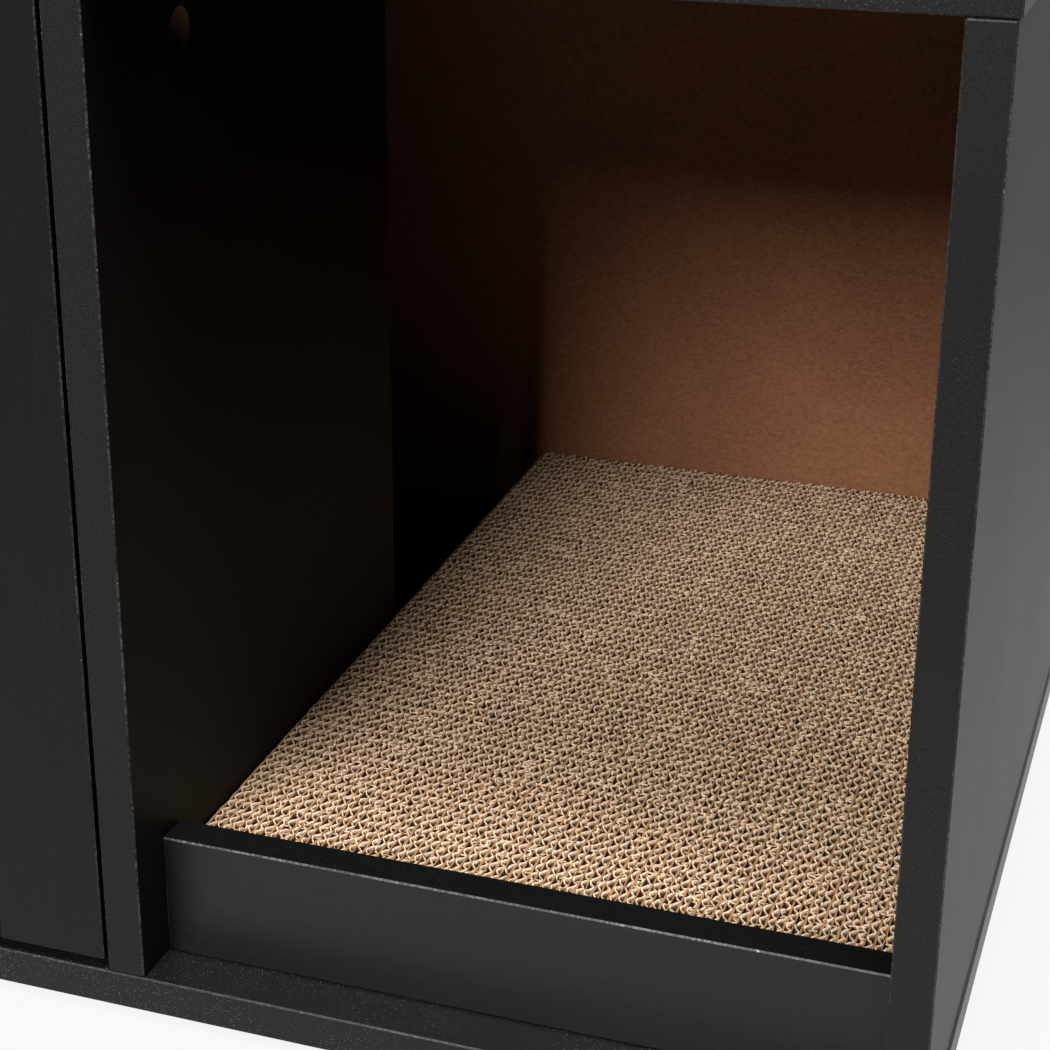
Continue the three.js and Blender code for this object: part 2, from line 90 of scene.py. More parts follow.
class Finish:
    """A material with a Principled shader, and short calls for the nodes that several finishes share."""

    def __init__(self, name, color, roughness, **sockets):
        self.material = bpy.data.materials.new(name)
        self.material.use_nodes = True
        self.tree = self.material.node_tree
        self.shader = self.tree.nodes["Principled BSDF"]
        self.feed(self.shader, {"Base Color": (*color, 1), "Roughness": roughness, **sockets})
        self.coordinates = self.node("ShaderNodeTexCoord")
        self.place = self.coordinates.outputs["Object"]

    def feed(self, node, inputs):
        for key, value in inputs.items():
            socket = node.inputs[key]
            if isinstance(value, bpy.types.NodeSocket):
                self.tree.links.new(value, socket)
            else:
                socket.default_value = value

    def node(self, kind, inputs=None, **settings):
        made = self.tree.nodes.new(kind)
        for key, value in settings.items():
            setattr(made, key, value)
        self.feed(made, inputs or {})
        return made

    def math(self, operation, a, b=0.0):
        return self.node("ShaderNodeMath", {0: a, 1: b}, operation=operation).outputs[0]

    def parts(self, vector):
        return self.node("ShaderNodeSeparateXYZ", {0: vector}).outputs

    def noise(self, per_metre, detail=3.0, stretch=(1, 1, 1), roughness=0.5):
        """Noise from 0 to 1. A stretch under 1 draws it out along that axis."""
        place = self.node("ShaderNodeMapping", {"Vector": self.place, "Scale": stretch}).outputs[0]
        inputs = {"Vector": place, "Scale": per_metre, "Detail": detail, "Roughness": roughness}
        return self.node("ShaderNodeTexNoise", inputs).outputs[0]

    def span(self, value, low, high, to_low=0.0, to_high=1.0):
        """The value, drawn from low..high to to_low..to_high and held at its ends."""
        inputs = {0: value, 1: low, 2: high, 3: to_low, 4: to_high}
        return self.node("ShaderNodeMapRange", inputs).outputs[0]

    def mix(self, factor, a, b):
        a, b = ((*x, 1) if isinstance(x, tuple) else x for x in (a, b))
        return self.node("ShaderNodeMix", {0: factor, 6: a, 7: b}, data_type="RGBA").outputs[2]

    def bump(self, height, depth, below=None):
        inputs = {"Height": height, "Distance": depth, "Strength": 1.0}
        if below is not None:
            inputs["Normal"] = below
        return self.node("ShaderNodeBump", inputs).outputs[0]

    def specks(self, per_metre, radius, share):
        """Small round dots, 1 inside, at a share of the points of a scattered grid."""
        cells = self.node("ShaderNodeTexVoronoi", {"Vector": self.place, "Scale": per_metre})
        near = self.math("LESS_THAN", cells.outputs["Distance"], radius * per_metre)
        chosen = self.math("LESS_THAN", self.parts(cells.outputs["Color"])[0], share)
        return self.math("MULTIPLY", near, chosen)

    def off_axis(self):
        """1 on a chamfer and 0 on a face square to an axis, in the piece's own space."""
        normal = self.coordinates.outputs["Normal"]
        slopes = self.node("ShaderNodeVectorMath", {0: normal}, operation="ABSOLUTE").outputs[0]
        x, y, z = self.parts(slopes)
        return self.span(self.math("ADD", self.math("ADD", x, y), z), 1.1, 1.3)

    def finish(self, **sockets):
        self.feed(self.shader, {key.replace("_", " "): value for key, value in sockets.items()})
        return self.material


WORN = (0.26, 0.25, 0.23)  # the colour of dust, and of an arris that is rubbed through
BORED_CORE = (0.055, 0.030, 0.016)
EDGE_BAND = 0.2 * MM  # the edging is what lies this close behind the boards' front plane
EDGING_ROUGHNESS = 0.36


def grey(level):
    return (level,) * 3


def shades(color, *factors):
    """The colour, darker or paler by each factor."""
    return [tuple(factor * channel for channel in color) for factor in factors]


def worn_arrises(f):
    """How far an arris is worn: dotted along it in rubbed stretches, and chipped here and there."""
    rubbed = f.span(f.noise(30, 3, roughness=0.7), 0.35, 0.65, 0.1, 0.6)
    dotted = f.math("MULTIPLY", rubbed, f.span(f.noise(900, 2), 0.42, 0.6, 0.1, 0.7))
    chipped = f.span(f.noise(330, 4, roughness=0.7), 0.63, 0.70)
    return f.math("MULTIPLY", f.off_axis(), f.math("MAXIMUM", dotted, chipped))


def dusted(f, color, dust):
    """The colour with fine dust on it in patches, and a few larger specks all over."""
    patches = f.span(f.noise(22, 3), 0.4, 0.6, 0.1, 1.0)
    fine = f.math("MULTIPLY", f.specks(1100, 0.18 * MM, 0.6), patches)
    coarse = f.math("MULTIPLY", f.specks(110, 0.16 * MM, 0.15), 0.3)
    return f.mix(coarse, f.mix(f.math("MULTIPLY", fine, dust), color, WORN), WORN)


def in_bore(f):
    """1 within the divider's empty bore."""
    offset = f.node("ShaderNodeVectorMath", {0: f.place, 1: bore_centre}, operation="SUBTRACT").outputs[0]
    _, y, z = f.parts(offset)
    radius = f.math("SQRT", f.math("ADD", f.math("MULTIPLY", y, y), f.math("MULTIPLY", z, z)))
    return f.math("LESS_THAN", radius, bore_radius)


def laminate(name, grain, black, gloss, matt=0.38, wear=0.3, edging=None, dust=0.05, bore=False):
    """Black melamine laminate: satin, with a fine orange peel, faint grain, dust and worn arrises.
    Edging is the brightness of the plastic edging along a board's front, which has a coarser peel."""
    f = Finish(name, grey(black), matt, **{"IOR": 1.45, "Specular IOR Level": gloss})
    drawn = f.noise(900, 3, grain)
    peel = f.noise(1300, 2.5)
    cloud = f.noise(9, 3)
    relief = peel
    color = f.mix(f.span(drawn, 0.3, 0.7), *shades(grey(black), 0.85, 1.25))
    if edging is not None:
        banded = f.math("LESS_THAN", f.parts(f.place)[1], front_y + EDGE_BAND)
        pores = f.span(f.noise(1500, 3), 0.35, 0.65)
        color = f.mix(banded, color, f.mix(pores, *shades(grey(edging), 0.6, 1.4)))
        matt = f.span(banded, 0, 1, matt, EDGING_ROUGHNESS)
        relief = f.math("MULTIPLY", peel, f.math("ADD", 1.0, f.math("MULTIPLY", banded, 2.0)))
    color = f.mix(f.math("MULTIPLY", worn_arrises(f), wear), color, WORN)
    color = dusted(f, color, dust)
    uneven = f.math("ADD", f.span(peel, 0.3, 0.7, -0.05, 0.05), f.span(cloud, 0.3, 0.7, -0.012, 0.014))
    roughness = f.math("ADD", matt, uneven)
    if bore:
        inside = in_bore(f)
        color = f.mix(inside, color, f.mix(f.noise(1600, 4), *shades(BORED_CORE, 1, 1.9)))
        roughness = f.math("MAXIMUM", roughness, f.math("MULTIPLY", inside, 0.95))
    normal = f.bump(relief, 0.012 * MM, below=f.bump(drawn, 0.002 * MM))
    return f.finish(Base_Color=color, Roughness=roughness, Normal=normal)


def hardboard():
    """Brown hardboard: smooth and finely mottled inside, with the screen's print outside."""
    dark, light, fleck = (0.158, 0.067, 0.034), (0.275, 0.119, 0.062), (0.40, 0.23, 0.13)
    screen_pitch = 2.1 * MM
    f = Finish("brown_hardboard", light, 0.9, **{"Specular IOR Level": 0.05})
    cloud = f.noise(14, 3)
    fibres = f.noise(700, 5, (0.5, 1, 1), 0.7)
    mottle = f.math("ADD", f.math("MULTIPLY", cloud, 0.25), f.math("MULTIPLY", fibres, 0.75))
    color = f.mix(f.span(mottle, 0.36, 0.64), dark, light)
    color = f.mix(f.math("MULTIPLY", f.specks(140, 0.35 * MM, 0.25), 0.45), color, fleck)
    x, y, z = f.parts(f.place)
    waves = [f.math("SINE", f.math("MULTIPLY", axis, 2 * math.pi / screen_pitch)) for axis in (x, z)]
    outside = f.math("GREATER_THAN", y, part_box("back_sheet")[1].y - 0.5 * MM)
    weave = f.math("MULTIPLY", f.math("MULTIPLY", f.math("MULTIPLY", *waves), outside), 0.5)
    height = f.math("ADD", weave, f.math("MULTIPLY", fibres, 0.6))
    return f.finish(Base_Color=color, Normal=f.bump(height, 0.12 * MM))


def paper(name, color, edge_color):
    """Kraft paper of the scratching pad: paler on the cut edges along its top, with painted shade that
    darkens it down between them.
    """
    darker, paler, fibrous, painted_shade = shades(color, 0.84, 1.14, 0.62, 0.16)
    f = Finish(name, color, 0.9, **{"Specular IOR Level": 0.12})
    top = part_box("scratch_pad")[1].z
    z = f.parts(f.place)[2]
    blotch = f.noise(60, 3, (1, 0.2, 1))
    fibres = f.noise(1300, 4, (1, 1, 0.5), 0.7)
    mottled = f.mix(f.span(blotch, 0.3, 0.7), darker, paler)
    mottled = f.mix(f.span(fibres, 0.4, 0.75, 0, 0.5), mottled, fibrous)
    # Painted shade: below the top 2 mm the paper falls to a sixth of its colour, where shade lies deep
    # between the strips.
    mottled = f.mix(f.span(z, top - 1.9 * MM, top - 0.8 * MM, 0.95, 0.0), mottled, painted_shade)
    rim = f.span(z, top - 1.2 * MM, top - 0.5 * MM)
    edge = f.math("MULTIPLY", rim, f.span(fibres, 0.3, 0.6, 0.35, 1.0))
    return f.finish(Base_Color=f.mix(edge, mottled, edge_color), Normal=f.bump(fibres, 0.2 * MM))


def metal(name, color, roughness, grain, depth):
    """Plated or cast metal, clouded, with fine marks in its gloss and surface."""
    f = Finish(name, color, roughness, Metallic=1.0)
    marks = f.noise(grain, 4, (1, 1, 0.3), 0.6)
    cloud = f.noise(130, 3)
    return f.finish(
        Base_Color=f.mix(f.span(cloud, 0.35, 0.7), *shades(color, 1, 0.75)),
        Roughness=f.span(marks, 0.3, 0.7, 0.75 * roughness, 1.3 * roughness),
        Normal=f.bump(marks, depth),
    )


def coated(name, color, roughness, grain, depth):
    """Powder coat, moulded plastic or ferrite: an even dark colour with a fine grain."""
    f = Finish(name, color, roughness, **{"Specular IOR Level": 0.4})
    grains = f.noise(grain, 3)
    cloud = f.noise(80, 3)
    return f.finish(
        Base_Color=f.mix(f.span(cloud, 0.3, 0.7), *shades(color, 1, 1.7)),
        Roughness=f.span(grains, 0.3, 0.7, 0.85 * roughness, 1.15 * roughness),
        Normal=f.bump(grains, depth),
    )


def beech():
    """Raw turned beech, with its grain along x."""
    f = Finish("beech", (0.55, 0.36, 0.19), 0.7)
    grain = f.noise(500, 4, (0.08, 1, 1))
    color = f.mix(f.span(grain, 0.35, 0.7), (0.60, 0.41, 0.23), (0.42, 0.25, 0.12))
    return f.finish(Base_Color=color, Normal=f.bump(grain, 0.1 * MM))


ALONG_X, ALONG_Z = (0.04, 1, 1), (1, 1, 0.04)  # how the grain is drawn out

looks = {
    "upright": laminate("black_laminate_upright", ALONG_Z, black=0.0025, gloss=0.22),
    "cross": laminate("black_laminate_cross", ALONG_X, black=0.0025, gloss=0.22),
    "side": laminate("black_laminate_side", ALONG_Z, black=0.003, gloss=0.33, matt=0.52, wear=0.4,
                     edging=0.003, dust=0.08),
    "bored": laminate("black_laminate_bored", ALONG_Z, black=0.0022, gloss=0.13, matt=0.55, wear=0.5,
                      edging=0.009, bore=True),
    # Painted light: the base and top boards get twice the black of the other boards (0.005), paler than the
    # same laminate elsewhere; the dust on them is real dust.
    "level": laminate("black_laminate_level_painted_light", ALONG_X, black=0.005, gloss=0.3, edging=0.004, dust=0.45),
    "rubbed": laminate("black_laminate_rubbed", ALONG_X, black=0.0026, gloss=0.42, wear=0.9, dust=0.06),
    "hardboard": hardboard(),
    "flute": paper("kraft_flute", (0.38, 0.225, 0.120), (0.80, 0.61, 0.435)),
    "liner": paper("kraft_liner", (0.32, 0.170, 0.080), (0.36, 0.195, 0.095)),
    "nickel": metal("nickel", (0.60, 0.59, 0.57), 0.27, 700, 0.02 * MM),
    "screw": metal("zinc_plate", (0.53, 0.54, 0.55), 0.34, 900, 0.03 * MM),
    "zinc": metal("cast_zinc", (0.36, 0.36, 0.37), 0.48, 500, 0.06 * MM),
    "powder_coat": coated("black_powder_coat", (0.012, 0.012, 0.013), 0.38, 1400, 0.05 * MM),
    "plastic": coated("black_plastic", (0.014, 0.014, 0.015), 0.55, 900, 0.04 * MM),
    "ferrite": coated("ferrite", (0.075, 0.075, 0.08), 0.6, 600, 0.05 * MM),
    "beech": beech(),
}

# The look of each CAD node, by the end of its name.
LOOK_OF_ENDING = {
    "side_panel": "side", "divider_panel": "bored", "stile": "upright", "door_panel": "upright",
    "base_board": "level", "top_board": "level", "threshold_board": "rubbed", "rail": "cross",
    "back_sheet": "hardboard", "dowel": "beech", "cam_lock": "zinc", "cam_bolt": "screw",
    "glide": "plastic", "scratch_pad": "liner", "knob": "powder_coat", "strike_plate": "nickel",
    "hinge_cup": "nickel", "hinge_pin": "nickel", "hinge_arm": "nickel", "hinge_plate": "nickel",
    "catch_housing": "plastic", "catch_magnet": "ferrite",
}


SHARP_ANGLE = math.radians(32)  # between two faces of a real edge


def smoothing():
    """Geometry nodes that shade a faceted round smooth and leave its real edges sharp."""
    tree = bpy.data.node_groups.new("smooth_rounds", "GeometryNodeTree")
    tree.interface.new_socket("Geometry", in_out="INPUT", socket_type="NodeSocketGeometry")
    tree.interface.new_socket("Geometry", in_out="OUTPUT", socket_type="NodeSocketGeometry")
    start, end = (tree.nodes.new(f"NodeGroup{kind}") for kind in ("Input", "Output"))
    faces = tree.nodes.new("GeometryNodeSetShadeSmooth")
    edges = tree.nodes.new("GeometryNodeSetShadeSmooth")
    edges.domain = "EDGE"
    edges.inputs["Shade Smooth"].default_value = False
    angle = tree.nodes.new("GeometryNodeInputMeshEdgeAngle")
    sharp = tree.nodes.new("FunctionNodeCompare")
    sharp.inputs[1].default_value = SHARP_ANGLE
    tree.links.new(angle.outputs[0], sharp.inputs[0])
    tree.links.new(sharp.outputs[0], edges.inputs["Selection"])
    tree.links.new(start.outputs[0], faces.inputs[0])
    tree.links.new(faces.outputs[0], edges.inputs[0])
    tree.links.new(edges.outputs[0], end.inputs[0])
    return tree


smooth_rounds = smoothing()
ROUND_LOOKS = {"beech", "zinc", "screw", "nickel", "plastic", "powder_coat"}

for name, node in nodes.items():
    look = next(look for ending, look in LOOK_OF_ENDING.items() if name.endswith(ending))
    node.material_slots[0].material = looks[look]
    if look in ROUND_LOOKS:
        node.modifiers.new("smooth_rounds", "NODES").node_group = smooth_rounds


# ---- New pieces ------------------------------------------------------------------------------------

def piece(name, mesh, look, body):
    made = bpy.data.objects.new(name, mesh)
    bpy.context.scene.collection.objects.link(made)
    mesh.materials.clear()
    mesh.materials.append(looks[look])
    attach(made, body)
    return made


# ---- Scratching pad: double-wall corrugated board, in sheets side by side with their cut edges up ---

SHEETS = 42
SHORT_SHARE = 0.46  # of a sheet's thickness, taken by its shorter flutes
FLUTE_PITCH = {"short": 6.2 * MM, "tall": 8.2 * MM}
FLUTE_STATIONS = {"short": 6, "tall": 8}  # points along each wave
FLUTE_PAPER, OUTER_LINER, MIDDLE_LINER = 0.42 * MM, 0.72 * MM, 0.42 * MM
GLUED = 0.03 * MM  # how far a flute's crests sink into the liners
LINER_STEP = 3.1 * MM  # between the points along a liner
LINER_STRAY, FLUTE_STRAY = 0.3, 0.05  # of the points along a strip, in steps
WAVER = 0.09 * MM  # height of each of the three waves along a liner
DRIFT = 0.3 * MM  # of the flutes, from one sheet to the next
PAD_INSET = 0.7 * MM  # of the outermost liners from the pad's sides
END_INSET = 0.4 * MM  # of the strips' ends from the pad's front and back

# What the saw leaves along a strip's upper edge.
TOP_INSET = 0.05 * MM  # of its highest points from the pad's top
BURR = (0.9, 1.6)  # its width, from and to, as a multiple of the paper's thickness
LEAN = 0.11 * MM  # of its points to the side, and a little less along the strip
TEAR, DEEPEST_TEAR = 0.22 * MM, 0.6 * MM
NICKED, NICK = 0.03, 0.7 * MM  # the share of points torn further down, and by how much
SMEAR = 0.8  # how much wider the strands are that run to the right
TORN_LOWER = 0.5 * MM  # and how much lower those that run to the left
TURNED = 0.2  # how far a strand's direction must point to one side to count as running that way

SLIVERS = 4500
SLIVER_HALF_LENGTH, SLIVER_HALF_WIDTH = (0.7, 2.0), (0.07, 0.17)  # from and to, in millimetres
SLIVER_SUNK = (0.02, 0.7)  # under the pad's top, from and to, in millimetres
SLIVER_DEPTH = 0.5 * MM
SLIVER_MARGIN = 3 * MM  # between their middles and the pad's sides
SAW_WAY, SAW_SPREAD = 18, 28  # mean and deviation of the slivers' directions, in degrees

random = np.random.default_rng(7)
pad_low, pad_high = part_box("scratch_pad")


class Strips:
    """Paper strips that stand on edge, gathered as one mesh of closed bodies."""

    def __init__(self):
        self.points, self.quads, self.count = [], [], 0

    def add(self, x, y, thickness, smear=0.0):
        """A strip along the line x, y, with a torn and leaning upper edge. Where the saw has smeared it,
        the edge is wider where the strip runs to the right, and lower where it runs to the left."""
        along = np.stack([np.gradient(x), np.gradient(y)], 1)
        along /= np.linalg.norm(along, axis=1)[:, None]
        side = np.stack([-along[:, 1], along[:, 0]], 1) * thickness / 2
        burr = side * (random.uniform(*BURR, (len(x), 1)) + smear * (along[:, :1] > TURNED))
        lean = random.normal(0, LEAN, (len(x), 2)) * (1, 0.6)
        torn = np.minimum(np.abs(random.normal(0, TEAR, len(x))), DEEPEST_TEAR)
        torn += (random.random(len(x)) < NICKED) * NICK
        if smear:
            torn += TORN_LOWER * (along[:, 0] < -TURNED)
        top = pad_high.z - TOP_INSET - torn
        base = np.full(len(x), pad_low.z)
        foot = np.stack([x, y], 1)
        edge = foot + lean
        corners = [(edge + burr, top), (edge - burr, top), (foot - side, base), (foot + side, base)]
        rings = np.stack([np.column_stack([xy, z]) for xy, z in corners], 1)
        self.points.append(rings.reshape(-1, 3))
        first = self.count + 4 * np.arange(len(x) - 1)[:, None]
        for a in range(4):
            b = (a + 1) % 4
            self.quads.append(first + [a, b, b + 4, a + 4])
        last = self.count + 4 * (len(x) - 1)
        self.quads.append(np.array([[3, 2, 1, 0]]) + self.count)
        self.quads.append(np.array([[0, 1, 2, 3]]) + last)
        self.count += 4 * len(x)

    def mesh(self, name):
        made = bpy.data.meshes.new(name)
        made.from_pydata(np.concatenate(self.points), [], np.concatenate(self.quads))
        return made


def waver():
    """A slow sideways wander along a liner, as a function of y."""
    lengths, phases = random.uniform(0.05, 0.22, 3), random.uniform(0, 2 * math.pi, 3)
    waves = list(zip(lengths, phases))
    return lambda y: sum(WAVER * np.sin(2 * math.pi * y / length + phase) for length, phase in waves)


def drifting(pitch):
    """Phases that wander from sheet to sheet, so that the flutes line up in slanting rows."""
    return np.cumsum(random.normal(DRIFT, DRIFT / 2, SHEETS)) + random.uniform(0, pitch)


def slivers():
    """Slivers of paper that the saw has torn loose, over the cut edges and most of them along its way."""
    low, high = (np.array(corner[:2]) for corner in (pad_low, pad_high))
    centre = random.uniform(low + SLIVER_MARGIN, high - SLIVER_MARGIN, (SLIVERS, 2))
    angle = np.radians(random.normal(SAW_WAY, SAW_SPREAD, SLIVERS))
    along = np.stack([np.cos(angle), np.sin(angle)], 1)
    across = np.stack([-along[:, 1], along[:, 0]], 1)
    along *= random.uniform(*SLIVER_HALF_LENGTH, (SLIVERS, 1)) * MM
    across *= random.uniform(*SLIVER_HALF_WIDTH, (SLIVERS, 1)) * MM
    top = pad_high.z - random.uniform(*SLIVER_SUNK, SLIVERS) * MM
    outline = [centre - along, centre - across, centre + along, centre + across]
    rings = [np.column_stack([xy, top - below]) for below in (SLIVER_DEPTH, 0) for xy in outline]
    sides = [(a, (a + 1) % 4, (a + 1) % 4 + 4, a + 4) for a in range(4)]
    faces = np.array([(3, 2, 1, 0), (4, 5, 6, 7), *sides])
    first = 8 * np.arange(SLIVERS)[:, None, None]
    made = bpy.data.meshes.new("pad_slivers")
    made.from_pydata(np.stack(rings, 1).reshape(-1, 3), [], (first + faces).reshape(-1, 4))
    return made


def scratching_pad():
    left, right = pad_low.x + PAD_INSET, pad_high.x - PAD_INSET
    y0, y1 = pad_low.y + END_INSET, pad_high.y - END_INSET
    sheet = (right - left) / SHEETS
    offsets = [(i + share) * sheet for i in range(SHEETS) for share in (0, SHORT_SHARE)] + [right - left]
    thicknesses = [OUTER_LINER, MIDDLE_LINER] * SHEETS + [OUTER_LINER]
    wander = [waver() for _ in offsets]

    def liner_x(i, y):
        return left + offsets[i] + wander[i](y)

    liners = Strips()
    for i, thickness in enumerate(thicknesses):
        y = np.linspace(y0, y1, round((y1 - y0) / LINER_STEP))
        y[1:-1] += random.uniform(-LINER_STRAY, LINER_STRAY, len(y) - 2) * LINER_STEP
        liners.add(liner_x(i, y), y, thickness)

    flutes = {"short": Strips(), "tall": Strips()}
    for k, (kind, strips) in enumerate(flutes.items()):
        pitch = FLUTE_PITCH[kind]
        phases = drifting(pitch)
        step = pitch / FLUTE_STATIONS[kind]
        for i in range(SHEETS):
            a, b = 2 * i + k, 2 * i + k + 1
            y = np.arange(y0, y1, step)
            y[1:] += random.normal(0, FLUTE_STRAY * step, len(y) - 1)
            low = liner_x(a, y) + thicknesses[a] / 2
            high = liner_x(b, y) - thicknesses[b] / 2
            zigzag = np.arcsin(np.sin(2 * math.pi * (y - phases[i]) / pitch))
            wave = np.clip(0.8 * zigzag, -1, 1)  # its crests cut flat, where they are glued
            reach = (high - low - FLUTE_PAPER) / 2 + GLUED
            strips.add((low + high) / 2 + reach * wave, y, FLUTE_PAPER, SMEAR)

    body, slot = "pad", "corrugated_cardboard"
    made = piece("scratching_pad_liners", liners.mesh("pad_liners"), "liner", body)
    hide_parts("scratch_pad")
    for kind, strips in flutes.items():
        piece(f"scratching_pad_{kind}_flutes", strips.mesh(f"pad_{kind}_flutes"), "flute", body)
    piece("scratching_pad_slivers", slivers(), "flute", body)


scratching_pad()


# ---- Screws and nails --------------------------------------------------------------------------------

def hexagon(across):
    """The radius of a hexagon at an angle round it."""
    def radius(angle):
        off = (angle + math.pi / 6) % (math.pi / 3) - math.pi / 6
        return across / 2 / math.cos(off)
    return radius


def cross(reach, width):
    """The radius of a cross recess at an angle round it, for arms of a reach and half a width."""
    def radius(angle):
        off = abs((angle + math.pi / 4) % (math.pi / 2) - math.pi / 4)
        tiny = 1e-6  # keeps the arm's middle line from dividing by 0
        return min(reach / math.cos(off), width / max(math.sin(off), tiny))
    return radius


# Rings of (radius or outline, height over the seat) in millimetres, from the point to the recess.
PAN_SCREW = [
    (0.3, -13), (1.6, -10), (1.6, 0), (3.4, 0), (3.6, 0.5), (3.3, 1.3), (2.5, 1.85),
    (cross(1.9, 0.42), 2.0), (cross(1.2, 0.3), 0.7),
]
SMALL_PAN_SCREW = [(r if callable(r) else 0.85 * r, 0.85 * h) for r, h in PAN_SCREW]
KNOB_SCREW = [
    (1.9, -12), (1.9, 0), (4.9, 0), (5.0, 0.7), (3.9, 0.9), (3.8, 2.0), (3.0, 2.7),
    (cross(2.0, 0.45), 2.8), (cross(1.3, 0.3), 1.2),
]
SOCKET_SCREW = [
    (3.2, -12), (3.2, -2.4), (4.8, -0.5), (4.8, -0.3), (hexagon(4), -0.3), (hexagon(4), -2.6),
]
NAIL = [(0.8, -6), (0.8, -0.45), (2.2, -0.4), (2.2, -0.2), (1.9, -0.12)]


class Turned:
    """Round pieces about axes of their own, gathered as one mesh of closed bodies."""

    def __init__(self, segments=24):
        self.angles = np.arange(segments) * 2 * math.pi / segments
        self.points, self.faces = [], []

    def add(self, rings, seat, outward, turn=0.0):
        count, first = len(self.angles), sum(map(len, self.points))
        basis = np.array(Vector(outward).to_track_quat("Z", "Y").to_matrix())
        for radius, height in rings:
            radii = [radius(a) if callable(radius) else radius for a in self.angles]
            around = self.angles + turn
            ring = np.column_stack([radii * np.cos(around), radii * np.sin(around), np.full(count, height)])
            self.points.append(ring * MM @ basis.T + np.array(seat))
        for k in range(len(rings) - 1):
            a = first + k * count
            self.faces += [(a + i, a + (i + 1) % count, a + (i + 1) % count + count, a + i + count)
                           for i in range(count)]
        self.faces.append(tuple(first + i for i in reversed(range(count))))
        self.faces.append(tuple(first + (len(rings) - 1) * count + i for i in range(count)))

    def mesh(self, name):
        made = bpy.data.meshes.new(name)
        made.from_pydata(np.concatenate(self.points), [], self.faces)
        made.shade_smooth()
        made.set_sharp_from_angle(angle=math.radians(30))
        return made


CUP_SCREW, PLATE_SCREW, CATCH_SCREW = 24 * MM, 16 * MM, 16.5 * MM  # from the middle of what they hold
PLATE_SEAT, ARM_SEAT = 2.2 * MM, 9.0 * MM  # from the face that carries the hinge
PLATE_SCREW_DEPTH, ARM_SCREW_DEPTH = 52 * MM, 64 * MM  # behind the front plane
CATCH_SCREW_DEPTH, CATCH_FOOT = 7.9 * MM, 2.5 * MM  # behind the catch's front, and under its top
SIDE_SCREW_INSET, DIVIDER_SCREW_INSET = 60 * MM, 50 * MM  # from the ends of the uprights' lower edges
BACKWARDS, DOWN = (0, 1, 0), (0, 0, -1)


def door_screws(side):
    """The screws that ride with a door: through the hinge cups' wings, the strike plate and the knob."""
    screws = Turned()
    for level in LEVELS:
        cup = f"{side}_door_{level}_hinge_cup"
        for dz in (-CUP_SCREW, CUP_SCREW):
            seat = (middle(cup).x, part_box(cup)[1].y, middle(cup).z + dz)
            screws.add(PAN_SCREW, seat, BACKWARDS, turn=random.uniform(0, 1.5))
    for held, rings, turn in (("strike_plate", SMALL_PAN_SCREW, 0.4), ("meeting_stile", KNOB_SCREW, 0.9)):
        node = f"{side}_door_{held}"
        screws.add(rings, (middle(node).x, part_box(node)[1].y, middle(node).z), BACKWARDS, turn)
    piece(f"{side}_door_screws", screws.mesh("door_screws"), "screw", f"{side}_door")


def bay_screws(side, along):
    """The screws that stay: in the hinge plates, through the arms' slots and in the catch's foot."""
    screws = Turned()
    for level in LEVELS:
        low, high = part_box(f"{side}_door_{level}_hinge_plate")
        z = (low.z + high.z) / 2
        face = low.x if along > 0 else high.x
        for dz in (-PLATE_SCREW, PLATE_SCREW):
            seat = (face + along * PLATE_SEAT, front_y + PLATE_SCREW_DEPTH, z + dz)
            screws.add(PAN_SCREW, seat, (along, 0, 0), turn=random.uniform(0, 1.5))
        seat = (face + along * ARM_SEAT, front_y + ARM_SCREW_DEPTH, z)
        screws.add(PAN_SCREW, seat, (along, 0, 0), turn=random.uniform(0, 1.5))
    low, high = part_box(f"{side}_catch_housing")
    for dx in (-CATCH_SCREW, CATCH_SCREW):
        seat = ((low.x + high.x) / 2 + dx, low.y + CATCH_SCREW_DEPTH, high.z - CATCH_FOOT)
        screws.add(SMALL_PAN_SCREW, seat, DOWN, turn=random.uniform(0, 1.5))
    piece(f"{side}_bay_screws", screws.mesh("bay_screws"), "screw", "carcass")


def base_screws():
    """Hexagon-socket screws in the countersinks under the base board."""
    screws = Turned()
    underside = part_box("base_board")[0].z
    for upright, inset in (("left_side_panel", SIDE_SCREW_INSET), ("right_side_panel", SIDE_SCREW_INSET),
                           ("divider_panel", DIVIDER_SCREW_INSET)):
        low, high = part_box(upright)
        for y in (low.y + inset, high.y - inset):
            seat = (middle(upright).x, y, underside)
            screws.add(SOCKET_SCREW, seat, DOWN, turn=random.uniform(0, 1))
    piece("base_screws", screws.mesh("base_screws"), "screw", "carcass")


for side, along in DOORS.items():
    door_screws(side)
    bay_screws(side, along)
base_screws()


NAIL_INSET = 6 * MM  # of the rows of nails from the back sheet's edges
CORNER_INSET = {"rows": 30 * MM, "columns": 70 * MM}  # of a row's end nails from the sheet's corners
NAIL_SCATTER_X, NAIL_SCATTER_Z = 1.2 * MM, 0.6 * MM
NAIL_DENT = [(2.5, -0.5), (2.7, 1)]


